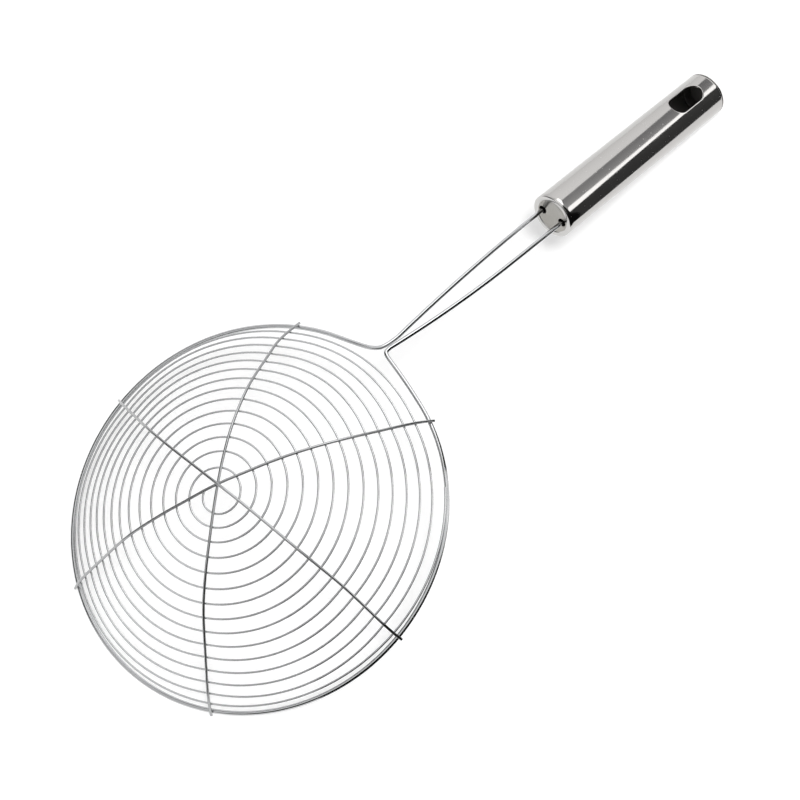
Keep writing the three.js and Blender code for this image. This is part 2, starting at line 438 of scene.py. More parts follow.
def turned(name: str, profile: Sequence[Point2], steps: int) -> bpy.types.Object:
    """Spins a closed profile about Z to a turned piece.

    Args:
        name: Name of the piece.
        profile: Radius and height of each corner, in mm, from one end of the axis to the other.
        steps: Faces round the axis.

    Returns:
        The mesh object, about the origin.
    """
    mesh = bpy.data.meshes.new(name)
    corners = [(radius * MM, 0.0, height * MM) for radius, height in profile]
    mesh.from_pydata(corners, [(i, i + 1) for i in range(len(corners) - 1)], [])
    obj = bpy.data.objects.new(name, mesh)
    bpy.context.scene.collection.objects.link(obj)
    only(obj)
    bpy.ops.object.mode_set(mode="EDIT")
    bpy.ops.mesh.select_all(action="SELECT")
    bpy.ops.mesh.spin(steps=steps, angle=2 * math.pi, center=(0, 0, 0), axis=(0, 0, 1))
    bpy.ops.mesh.select_all(action="SELECT")
    bpy.ops.mesh.remove_doubles(threshold=MERGE_DISTANCE)
    bpy.ops.mesh.normals_make_consistent(inside=False)
    bpy.ops.object.mode_set(mode="OBJECT")
    return obj


def quarter(centre: Point2, radius: float, steps: int) -> list[Point2]:
    """Rounds an outer upper corner of a profile.

    Args:
        centre: Radius and height of the round's centre, in mm.
        radius: Radius of the round in mm.
        steps: Number of facets.

    Returns:
        Radius and height of each point, from the side to the end face.
    """
    angles = [math.radians(90 * i / steps) for i in range(steps + 1)]
    return [(centre[0] + radius * math.cos(a), centre[1] + radius * math.sin(a)) for a in angles]


@dataclass(frozen=True)
class Bow:
    """A slight sideways bend of a hand-set wire.

    It has a size in mm, and places where it rises and falls: shares of a rib, or turns of the spiral.
    """

    amount: float
    start: float
    full_from: float
    full_to: float
    end: float

    def at(self, place: float) -> float:
        """Gives the sideways shift at a place along the wire."""
        rise = smoothstep(place, self.start, self.full_from)
        return self.amount * rise * (1 - smoothstep(place, self.full_to, self.end))


@dataclass(frozen=True)
class LegBend:
    """How a leg splays over a length and, from a start before the neck, bends into the rim.

    The side is 1 for the leg on +Y and -1 for the other. Lengths are in mm, the angle in degrees.
    """

    side: int
    splay: float
    start: float
    join_angle: float
    reach: float


@dataclass
class WireBowl:
    """The bowl: a rim wire that runs on into the legs, one wound wire, and three ribs over it.

    Sizes are in mm, angles in degrees, counted from the neck. The bowl's own frame has the rim's
    centre at its origin, the neck along +X and the crown along +Z.
    """

    rim_radius: float = 100
    rim_wire: float = 2.3
    rib_wire: float = 1.4
    spiral_wire: float = 1.1
    depth: float = 50.5
    weld_bite: float = 0.08
    rib_overhang: float = 1.5
    rib_crossing_reach: float = 22
    rib_crown_blend: float = 20
    rib_flattening: float = 2
    rib_flat_from: float = 50
    spiral_start_radius: float = 8
    spiral_turns: float = 14.46
    spiral_closing: float = 1.3
    spiral_lead_out: float = 1.9
    spiral_lead_turns: float = 0.2
    spiral_offset: float = 2.2
    spiral_offset_angle: float = 195
    spiral_bow: float = 1
    spiral_bow_from: float = 7
    spiral_bow_full: float = 10
    spiral_bow_fade: float = 1
    neck_radius: float = 105.8
    neck_overshoot: float = 6
    upper_leg: LegBend = LegBend(side=1, splay=120.3, start=9.7, join_angle=15.8, reach=24.1)
    lower_leg: LegBend = LegBend(side=-1, splay=88.5, start=1.5, join_angle=19.7, reach=34.2)
    handle_kink: float = 28.4
    leg_length: float = 128.4
    leg_depth: float = 26
    leg_spacing: float = 13.2
    rest_tilt: float = 17.3347
    rest_x: float = -131.726018
    rest_y: float = -0.009098
    rest_z: float = 30.587787
    lower_rib_ends: tuple[float, float] = (27.8, 208.2)
    middle_rib_ends: tuple[float, float] = (148.1, 333.9)
    top_rib_ends: tuple[float, float] = (89.1, 268.6)
    lower_rib_bow: Bow = Bow(-3.0, 0.005, 0.11, 0.32, 0.63)
    middle_rib_bow: Bow = Bow(1.4, 0.2, 0.52, 0.58, 0.78)
    top_rib_bow: Bow = Bow(2.45, 0.22, 0.62, 0.8, 0.99)
    spiral_shift_x: Bow = Bow(0.9, 0.3, 1.7, 2.6, 8)
    spiral_shift_y: Bow = Bow(0.66, 0.5, 2, 9.3, 12)
    spiral_steps: int = 3000
    spiral_early_steps: int = 3
    rib_steps: int = 200
    rim_steps: int = 720
    leg_steps: int = 120
    bend_steps: int = 72
    rim_ring: int = 6
    rib_ring: int = 6
    spiral_ring: int = 4

    def __post_init__(self) -> None:
        """Works out the places that follow from the sizes."""
        self.rim_centre = self.rim_radius - self.rim_wire / 2
        rim_to_rib = (self.rim_wire + self.rib_wire) / 2 - self.weld_bite
        squares = self.rim_centre**2 + self.depth**2 - rim_to_rib**2
        self.rib_sphere = squares / (2 * (self.depth - rim_to_rib))
        self.centre_height = self.depth - self.rib_sphere
        self.rim_sphere = self.rib_sphere - rim_to_rib
        self.rim_polar = math.asin(self.rim_centre / self.rim_sphere)
        self.spiral_sphere = self.rib_sphere - (self.rib_wire + self.spiral_wire) / 2 + self.weld_bite
        kink = math.radians(self.handle_kink)
        self.neck = Vector((self.neck_radius, 0, 0))
        self.handle_axis = Vector((math.cos(kink), 0, -math.sin(kink)))
        self.rib_ends = (self.lower_rib_ends, self.middle_rib_ends, self.top_rib_ends)
        self.rib_bows = (self.lower_rib_bow, self.middle_rib_bow, self.top_rib_bow)

    def rest(self) -> Matrix:
        """Gives the place of the bowl's own frame as it lies on the table, in metres.

        Returns:
            Matrix from millimetres in the bowl's frame to metres in the row frame.
        """
        place = Matrix.Translation(Vector((self.rest_x, self.rest_y, self.rest_z)) * MM)
        turn = Matrix.Rotation(-math.radians(self.rest_tilt), 4, "Y")
        return place @ turn @ Matrix.Scale(MM, 4)

    def handle_place(self) -> Matrix:
        """Gives the place of the handle, whose axis is Z from its front end.

        Returns:
            Matrix from metres in the handle's frame to metres in the row frame.
        """
        front = self.neck + self.handle_axis * self.leg_length
        turn = Matrix.Rotation(math.pi / 2 + math.radians(self.handle_kink), 4, "Y")
        return self.rest() @ Matrix.Translation(front) @ turn @ Matrix.Scale(1 / MM, 4)

    def heading(self, angle: float) -> Vector:
        """Gives the level unit direction at an angle in degrees, counted from the neck."""
        return Vector((math.cos(math.radians(angle)), math.sin(math.radians(angle))))

    def on_dome(self, plan: Vector, sphere: float, lift: float) -> Vector:
        """Finds a point over the dome, which is a little flatter than a sphere towards the rim.

        Args:
            plan: Place in the rim's plane.
            sphere: Radius of the dome's sphere.
            lift: Height over that sphere.

        Returns:
            The point in the bowl's frame.
        """
        polar = math.asin(plan.length / sphere)
        flat_from = self.rib_flat_from / self.rib_sphere
        share = min(1.0, max(0.0, (polar - flat_from) / (self.rim_polar - flat_from)))
        radius = sphere + lift - self.rib_flattening * math.sin(math.pi * share) ** 2
        outwards = plan * (radius / sphere)
        return Vector((outwards.x, outwards.y, self.centre_height + radius * math.cos(polar)))

    def half_frame(self, leg: LegBend) -> Path3:
        """Follows one leg from its end in the handle to the rim.

        Args:
            leg: How the leg splays and bends.

        Returns:
            Points of the centre line in the bowl's frame.
        """
        leg_half = self.leg_spacing / 2
        neck_half = (self.rim_wire - self.weld_bite) / 2

        def on_handle(along: float, across: float) -> Vector:
            """Finds a point beside the handle's axis."""
            return self.neck + self.handle_axis * along + Vector((0, leg.side * across, 0))

        points = [on_handle(self.leg_length + self.leg_depth, leg_half)]
        for step in range(self.leg_steps, 0, -1):
            share = step / self.leg_steps
            across = neck_half + (leg_half - neck_half) * (1 - (1 - share) ** 2)
            points.append(on_handle(leg.start + leg.splay * share, across))
        join = math.radians(leg.join_angle)
        on_rim = Vector((math.cos(join), leg.side * math.sin(join), 0)) * self.rim_centre
        along_rim = Vector((math.sin(join), -leg.side * math.cos(join), 0))
        guides = (
            on_handle(leg.start, neck_half),
            on_handle(-self.neck_overshoot, neck_half),
            on_rim + along_rim * leg.reach,
            on_rim,
        )
        for step in range(self.bend_steps + 1):
            t = step / self.bend_steps
            weights = ((1 - t) ** 3, 3 * t * (1 - t) ** 2, 3 * t**2 * (1 - t), t**3)
            place = Vector((0, 0, 0))
            for guide, weight in zip(guides, weights):
                place += guide * weight
            points.append(place)
        return points

    def rim_path(self) -> Path3:
        """Follows the frame wire: one leg, the rim and the other leg.

        Returns:
            Points of the centre line in the bowl's frame.
        """
        points = self.half_frame(self.upper_leg)
        sweep = 360 - self.upper_leg.join_angle - self.lower_leg.join_angle
        for step in range(1, self.rim_steps):
            heading = self.heading(self.upper_leg.join_angle + sweep * step / self.rim_steps)
            points.append(heading.to_3d() * self.rim_centre)
        return points + self.half_frame(self.lower_leg)[::-1]

    def rib_path(self, ends: tuple[float, float], level: int) -> Path3:
        """Follows a rib over the dome.

        Args:
            ends: Angles of the rib's two ends in degrees.
            level: Number of ribs that it passes over at the crown.

        Returns:
            Points of the centre line in the bowl's frame.
        """
        first, second = (self.heading(angle) for angle in ends)
        half_run = (second - first) / 2
        half_bend = (second + first) / 2
        sideways = Vector((-half_run.y, half_run.x)).normalized()
        end_polar = self.rim_polar + self.rib_overhang / self.rib_sphere
        end_radius = self.rib_sphere * math.sin(end_polar)
        reach = math.sqrt(end_radius**2 - half_bend.length_squared * self.rib_crown_blend**2)
        points = []
        for step in range(self.rib_steps + 1):
            run = reach * math.sin(end_polar * (2 * step / self.rib_steps - 1)) / math.sin(end_polar)
            plan = half_run * run + half_bend * math.hypot(run, self.rib_crown_blend)
            plan += sideways * self.rib_bows[level].at(step / self.rib_steps)
            near_crown = max(0.0, 1 - abs(run) / self.rib_crossing_reach)
            lift = level * (self.rib_wire - self.weld_bite) * math.sin(math.pi / 2 * near_crown) ** 2
            points.append(self.on_dome(plan, self.rib_sphere, lift))
        return points

    def between_ribs(self, angle: float) -> float:
        """Tells how far an angle lies between its two neighbouring rib ends.

        Args:
            angle: Angle in degrees, counted from the neck.

        Returns:
            0 at a rib, rising to 1 midway.
        """
        turn = angle % 360
        ends = sorted(end for rib in self.rib_ends for end in rib)
        after = min((end for end in ends if end > turn), default=ends[0] + 360)
        before = max((end for end in ends if end <= turn), default=ends[-1] - 360)
        return math.sin(math.pi * (turn - before) / (after - before))

    def spiral_path(self) -> Path3:
        """Follows the wound wire from near the crown to the rim.

        Returns:
            Points of the centre line in the bowl's frame.
        """
        rim_reach = (self.rim_wire + self.spiral_wire) / 2 - self.weld_bite
        product = 2 * self.spiral_sphere * self.rim_sphere
        to_rim = math.acos((self.spiral_sphere**2 + self.rim_sphere**2 - rim_reach**2) / product)
        start_arc = self.spiral_sphere * math.asin(self.spiral_start_radius / self.spiral_sphere)
        end_arc = self.spiral_sphere * (self.rim_polar - to_rim)
        wound_arc = end_arc - self.spiral_lead_out - start_arc
        # The pitch falls from here by spiral_closing, most of it near the rim.
        start_pitch = wound_arc / self.spiral_turns + self.spiral_closing / 4
        lead_from = self.spiral_turns - self.spiral_lead_turns
        lead = self.spiral_start_radius / (self.rim_centre - self.spiral_start_radius)
        points = []
        # The wire starts a few steps early, so that its end lies under the middle rib.
        for step in range(-self.spiral_early_steps, self.spiral_steps + 1):
            # The turns grow so that the steps are about even along the wire.
            share = math.sqrt(lead**2 + (1 + 2 * lead) * step / self.spiral_steps) - lead
            turns = self.spiral_turns * share
            angle = self.middle_rib_ends[0] + 360 * turns
            lead_out = self.spiral_lead_out * smoothstep(turns, lead_from, self.spiral_turns)
            arc = start_arc + turns * (start_pitch - self.spiral_closing / 4 * share**3) + lead_out
            fade_in = smoothstep(turns, self.spiral_bow_from, self.spiral_bow_full)
            fade_out = smoothstep(lead_from - turns, 0, self.spiral_bow_fade)
            bow = self.spiral_bow * fade_in * fade_out * self.between_ribs(angle)
            plan = self.heading(angle) * (self.spiral_sphere * math.sin(arc / self.spiral_sphere))
            plan += self.heading(self.spiral_offset_angle) * (self.spiral_offset * (1 - share))
            plan += Vector((self.spiral_shift_x.at(turns), self.spiral_shift_y.at(turns)))
            points.append(self.on_dome(plan, self.spiral_sphere, 0) + self.heading(angle).to_3d() * bow)
        return points

    def placed(self, path: Path3) -> Path3:
        """Moves a path from the bowl's frame to where it lies."""
        rest = self.rest()
        return [rest @ point for point in path]

    def build(self) -> None:
        """Makes and dresses the rim wire, the wound wire and the ribs."""
        rim_path, spiral_path = self.placed(self.rim_path()), self.placed(self.spiral_path())
        rim = round_wire("rim_frame_wire", rim_path, self.rim_wire * MM, self.rim_ring)
        settle(rim, Slot.RIM, "rim_frame", RIM_STEEL.material())
        spiral = round_wire("spiral_winding", spiral_path, self.spiral_wire * MM, self.spiral_ring)
        settle(spiral, Slot.SPIRAL, "spiral_wire", SPIRAL_STEEL.material())
        rib_steel = RIB_STEEL.material()
        for level, name in enumerate(("lower_rib", "middle_rib", "top_rib")):
            path = self.placed(self.rib_path(self.rib_ends[level], level))
            rib = round_wire(f"{name}_wire", path, self.rib_wire * MM, self.rib_ring)
            settle(rib, Slot.RIB, name, rib_steel)


@dataclass
class TubeHandle:
    """The handle: a slotted tube, a front plug with two leg holes, a tail plug and a hidden anchor.

    Sizes are in mm, angles in degrees. The handle's own frame has its axis along +Z, from the tube's
    front end.
    """

    place: Matrix
    tube_diameter: float = 25
    tube_wall: float = 1
    tube_length: float = 130.9
    slot_length: float = 23.8
    slot_width: float = 11.5
    slot_from_end: float = 9.4
    slot_turn: float = 6
    slot_patch: float = 4
    patch_half_angle: float = 45
    spigot_length: float = 5
    spigot_gap: float = 0.3
    cap_wall: float = 1.2
    cap_proud: float = 0.9
    cap_lip_width: float = 2.8
    cap_lip_steps: int = 16
    cap_face_sink: float = 0.5
    cap_seam: float = 0.3
    tail_length: float = 1.2
    tail_round: float = 0.8
    tail_round_steps: int = 12
    anchor_from_front: float = 16
    anchor_length: float = 8
    leg_spacing: float = 13.2
    leg_hole: float = 4.9
    anchor_hole: float = 2.6
    hole_faces: int = 48
    cap_edge_round: float = 0.12
    anchor_edge_round: float = 0.4
    edge_round: float = 0.45
    edge_guard: float = 0.7
    slot_edge_round: float = 0.2
    roll_length: float = 2
    roll_depth: float = 0.6
    roll_steps: int = 8
    roll_guard: float = 0.4
    body_rows: int = 22
    turned_steps: int = 128
    patch_columns: int = 36
    side_columns: int = 30
    slot_rows: int = 28
    patch_rings: int = 6

    def __post_init__(self) -> None:
        """Works out the radii, and the heights of the slot and of the patch round it."""
        self.radius = self.tube_diameter / 2
        self.bore = self.radius - self.tube_wall
        self.spigot = self.bore - self.spigot_gap
        self.slot_z = self.tube_length - self.slot_from_end - self.slot_length / 2
        self.patch_low = self.slot_z - self.slot_length / 2 - self.slot_patch
        self.patch_high = self.slot_z + self.slot_length / 2 + self.slot_patch

    def build(self) -> None:
        """Makes and dresses the tube, both plugs and the anchor."""
        tube_steel = TUBE_STEEL.material()
        # The bore's darker steel, also used inside both plugs, is painted shade.
        bore_steel = BORE_STEEL.material()
        settle(self.tube(), Slot.HANDLE, "handle_tube", tube_steel, bore_steel)
        cap_steels = (LIP_STEEL.material(), CAP_STEEL.material(), bore_steel)
        settle(self.front_cap(), Slot.CAP, "front_cap", *cap_steels)
        settle(self.tail_cap(), Slot.HANDLE, "tail_cap", tube_steel, bore_steel)
        settle(self.anchor(), Slot.ANCHOR, "leg_anchor", ANCHOR_STEEL.material())

    def finish_piece(self, obj: bpy.types.Object, edge: float) -> bpy.types.Object:
        """Rounds the sharp edges of a piece and puts it in its place.

        Args:
            obj: Piece about the origin, with its axis along Z.
            edge: Radius of the rounded edges in mm.

        Returns:
            The same piece.
        """
        rounding = obj.modifiers.new("rounded_edges", "BEVEL")
        rounding.limit_method = "ANGLE"
        rounding.angle_limit = SHARP_ANGLE
        rounding.width = edge * MM
        rounding.segments = EDGE_STEPS
        apply_modifiers(obj)
        return self.seat(obj)

    def seat(self, obj: bpy.types.Object) -> bpy.types.Object:
        """Puts a piece of the handle in its place and shades it.

        Args:
            obj: Piece about the origin, with its axis along Z.

        Returns:
            The same piece.
        """
        obj.data.transform(self.place)
        smooth(obj)
        return obj

    def slot_outline(self, share: float) -> Point2:
        """Follows the slot's outline, seen square on.

        Args:
            share: Part of the way round, from 0 to 1, counted from the middle of a long side.

        Returns:
            Distance across and along the handle from the slot's centre, in mm.
        """
        end = self.slot_width / 2
        straight = self.slot_length / 2 - end
        half_way = 2 * straight + math.pi * end
        halves, left = divmod(share * 2 * half_way + straight, half_way)
        side = -1 if halves == 1 else 1
        if left <= 2 * straight:
            return side * end, side * (left - straight)
        angle = (left - 2 * straight) / end
        return side * end * math.cos(angle), side * (straight + end * math.sin(angle))

    def tube_skin(self) -> bpy.types.Mesh:
        """Lays the tube's outer skin as a grid of faces with a slot in each of two opposite walls.

        Returns:
            The skin without its thickness, about the origin, with its axis along Z.
        """
        half_patch = math.radians(self.patch_half_angle)
        columns = 2 * (self.patch_columns + self.side_columns)
        slot_z, low, high = self.slot_z, self.patch_low, self.patch_high
        # Heights of the rows: the front edge, the plain body, the part with the slots, the tail edge.
        roll_turns = [math.pi / 2 / self.roll_steps * i for i in range(self.roll_steps + 1)]
        heights = [self.roll_length * (1 - math.cos(turn)) for turn in roll_turns]
        body = self.roll_length + self.roll_guard
        heights += [body + (low - body) * i / self.body_rows for i in range(self.body_rows)]
        first_row = len(heights)
        last_row = first_row + self.slot_rows
        middle_row = (first_row + last_row) // 2
        heights += [low + (high - low) * i / self.slot_rows for i in range(self.slot_rows + 1)]
        heights += [self.tube_length - self.edge_round - self.edge_guard, self.tube_length]
        # Angles of the columns: a patch round a slot and a plain side, then the same on the other wall.
        turn = -math.radians(self.slot_turn)
        patch_step = 2 * half_patch / self.patch_columns
        side_step = (math.pi - 2 * half_patch) / self.side_columns
        angles = [turn - half_patch + patch_step * i for i in range(self.patch_columns)]
        angles += [turn + half_patch + side_step * i for i in range(self.side_columns)]
        angles += [angle + math.pi for angle in angles]
        skin = bmesh.new()

        def on_tube(angle: float, height: float) -> bmesh.types.BMVert:
            """Adds a point of the tube's skin. Angle 0 is the top of the handle."""
            x, y = -self.radius * math.cos(angle), self.radius * math.sin(angle)
            return skin.verts.new((x * MM, y * MM, height * MM))

        def in_patch(column: int, row: int) -> bool:
            """Tells whether a point of the grid lies strictly inside a slot's patch."""
            place = column % (columns // 2)
            return 0 < place < self.patch_columns and first_row < row < last_row

        grid = {
            (column, row): on_tube(angles[column], height)
            for row, height in enumerate(heights)
            for column in range(columns)
            if not in_patch(column, row)
        }
        for row in range(len(heights) - 1):
            for column in range(columns):
                in_columns = column % (columns // 2) < self.patch_columns
                if in_columns and first_row <= row < last_row:
                    continue
                beside = (column + 1) % columns
                skin.faces.new(
                    (grid[column, row], grid[beside, row], grid[beside, row + 1], grid[column, row + 1])
                )
        # Each patch is filled by rings that pass from its square border to the slot's outline.
        for start in (0, columns // 2):
            middle = start + self.patch_columns // 2
            border = [(start + self.patch_columns, row) for row in range(middle_row, last_row)]
            border += [(start + i, last_row) for i in range(self.patch_columns, 0, -1)]
            border += [(start, row) for row in range(last_row, first_row, -1)]
            border += [(start + i, first_row) for i in range(self.patch_columns)]
            border += [(start + self.patch_columns, row) for row in range(first_row, middle_row)]
            centre = angles[middle % columns]
            outer = [grid[column % columns, row] for column, row in border]
            for ring in range(self.patch_rings, -1, -1):
                share = ring / (self.patch_rings + 1)
                loop = []
                for i, corner in enumerate(border):
                    across, along = self.slot_outline(i / len(border))
                    slot_angle = centre + math.asin(across / self.radius)
                    corner_angle = centre - half_patch + patch_step * (corner[0] - start)
                    angle = slot_angle + (corner_angle - slot_angle) * share
                    height = slot_z + along + (heights[corner[1]] - slot_z - along) * share
                    loop.append(on_tube(angle, height))
                for i in range(len(border)):
                    after = (i + 1) % len(border)
                    skin.faces.new((outer[i], outer[after], loop[after], loop[i]))
                outer = loop
        bmesh.ops.recalc_face_normals(skin, faces=skin.faces)
        mesh = bpy.data.meshes.new("handle_tube_shell")
        skin.to_mesh(mesh)
        skin.free()
        return mesh

    def tube(self) -> bpy.types.Object:
        """Rolls the slotted tube: gives its skin a wall, rounds the edges and rolls in the front one.

        Returns:
            The tube in its place, with its inner wall in the second material slot.
        """
        mesh = self.tube_skin()
        obj = bpy.data.objects.new("handle_tube_shell", mesh)
        bpy.context.scene.collection.objects.link(obj)
        wall = obj.modifiers.new("wall", "SOLIDIFY")
        wall.thickness = self.tube_wall * MM
        wall.offset = -1
        wall.use_even_offset = True
        wall.material_offset = 1
        mesh.materials.append(None)
        mesh.materials.append(None)
        apply_modifiers(obj)
        low, high = self.patch_low, self.patch_high
        round_edges(obj, self.slot_edge_round, lambda radius, height: low < height < high)
        round_edges(obj, self.edge_round, lambda radius, height: height > high)
        self.roll_in(obj)
        return self.seat(obj)

    def roll_in(self, obj: bpy.types.Object) -> None:
        """Rolls the tube's front edge in a little, towards the plug.

        Args:
            obj: The tube about the origin, with its axis along Z.
        """
        outside = self.radius - self.tube_wall / 2
        for point in obj.data.vertices:
            radius, height = point.co.xy.length / MM, point.co.z / MM
            if radius > outside and height < self.roll_length:
                share = 1 - height / self.roll_length
                point.co.xy *= 1 - self.roll_depth * (1 - math.sqrt(1 - share**2)) / radius

    def drilled(self, obj: bpy.types.Object, diameter: float) -> bpy.types.Object:
        """Drills the two leg holes along Z.

        Args:
            obj: Piece to drill.
            diameter: Diameter of the holes in mm.

        Returns:
            The same piece.
        """
        for side in (-1, 1):
            bpy.ops.object.select_all(action="DESELECT")
            bpy.ops.mesh.primitive_cylinder_add(
                vertices=self.hole_faces,
                radius=diameter / 2 * MM,
                depth=2 * self.tube_length * MM,
                location=(0, side * self.leg_spacing / 2 * MM, 0),
            )
            drill = bpy.context.active_object
            hole = obj.modifiers.new("leg_hole", "BOOLEAN")
            hole.object = drill
            hole.operation = "DIFFERENCE"
            hole.solver = "EXACT"
            apply_modifiers(obj)
            bpy.data.objects.remove(drill)
        return obj

    def front_cap(self) -> bpy.types.Object:
        """Turns the front plug: a rounded lip, a sunk face and a spigot in the tube.

        Returns:
            The plug in its place, with its face and its inside in further material slots.
        """
        face = self.cap_face_sink - self.cap_proud
        lip_inside = self.radius - self.cap_lip_width
        lip_middle = self.radius - self.cap_lip_width / 2
        lip_height = self.cap_proud - self.cap_seam
        profile = [(0.0, face), (lip_inside, face)]
        for step in range(1, self.cap_lip_steps + 1):
            angle = math.pi * step / self.cap_lip_steps
            radius = lip_middle - self.cap_lip_width / 2 * math.cos(angle)
            profile.append((radius, -self.cap_seam - lip_height * math.sin(angle)))
        profile += [(self.spigot, -self.cap_seam), (self.spigot, self.spigot_length)]
        inside = self.spigot - self.cap_wall
        back = face + self.cap_wall
        profile += [(inside, self.spigot_length), (inside, back), (0.0, back)]
        cap = self.drilled(turned("front_cap_plug", profile, self.turned_steps), self.leg_hole)
        satin_to = face + self.cap_wall / 2
        dark_from = face + self.cap_wall / 4
        mark_faces(cap, 1, lambda radius, height: radius < lip_inside and height < satin_to)
        # The plug's inside takes the bore's darker steel: painted shade.
        mark_faces(cap, 2, lambda radius, height: height > dark_from)
        return self.finish_piece(cap, self.cap_edge_round)

    def tail_cap(self) -> bpy.types.Object:
        """Turns the tail plug: a flat end, a rounded edge and a spigot in the tube.

        Returns:
            The plug in its place, with what lies in the tube in the second material slot.
        """
        end = self.tube_length + self.tail_length
        inside = self.spigot - self.cap_wall
        spigot_end = self.tube_length - self.spigot_length
        seam = self.tube_length + self.cap_seam
        profile = [(0.0, end - self.cap_wall), (inside, end - self.cap_wall), (inside, spigot_end)]
        profile += [(self.spigot, spigot_end), (self.spigot, seam), (self.radius, seam)]
        round_centre = (self.radius - self.tail_round, end - self.tail_round)
        profile += quarter(round_centre, self.tail_round, self.tail_round_steps)
        profile += [(0.0, end)]
        cap = turned("tail_cap_plug", profile, self.turned_steps)
        # The plug's inside takes the bore's darker steel: painted shade.
        mark_faces(cap, 1, lambda radius, height: height < seam - self.cap_seam / 2)
        return self.finish_piece(cap, self.cap_edge_round)

    def anchor(self) -> bpy.types.Object:
        """Turns the plug in the tube that holds the ends of the legs.

        Returns:
            The plug in its place.
        """
        front = self.anchor_from_front
        back = front + self.anchor_length
        profile = [(0.0, front), (self.spigot, front), (self.spigot, back), (0.0, back)]
        plug = turned("leg_anchor_plug", profile, self.turned_steps)
        return self.finish_piece(self.drilled(plug, self.anchor_hole), self.anchor_edge_round)


@dataclass(frozen=True)
class Panel:
    """A flat studio card or soft box that only mirrors see, given by its corners in metres."""

    name: str
    corners: Corners
    tones: tuple[str, ...]
    strength: float = 1.0

    def build(self) -> None:
        """Hangs up the panel."""
        mesh = bpy.data.meshes.new(self.name)
        mesh.from_pydata(self.corners, [], [range(len(self.corners))])
        panel = bpy.data.objects.new(self.name, mesh)
        bpy.context.scene.collection.objects.link(panel)
        tone = mesh.color_attributes.new("tone", "FLOAT_COLOR", "POINT")
        for i, corner in enumerate(tone.data):
            corner.color = linear(self.tones[i % len(self.tones)])
        material, tree = new_material(self.name)
        shade = add_node(tree, "Attribute", {"attribute_name": "tone"}).outputs["Color"]
        glow = add_node(tree, "Emission", inputs={"Color": shade, "Strength": self.strength})
        add_node(tree, "OutputMaterial", inputs={"Surface": glow.outputs[0]})
        mesh.materials.append(material)
        panel.visible_camera = False
        panel.visible_diffuse = False
        panel.visible_shadow = False


def wall(start: Point2, end: Point2, low: float, high: float, end_high: float = 0.0) -> Corners:
    """Gives the corners of an upright panel.

    Args:
        start: First point of its foot, seen from above.
        end: Last point of its foot.
        low: Height of its lower edge.
        high: Height of its upper edge at the first point.
        end_high: Height of its upper edge at the last point, where that differs.

    Returns:
        Four corners in order.
    """
    return (*start, low), (*end, low), (*end, end_high or high), (*start, high)


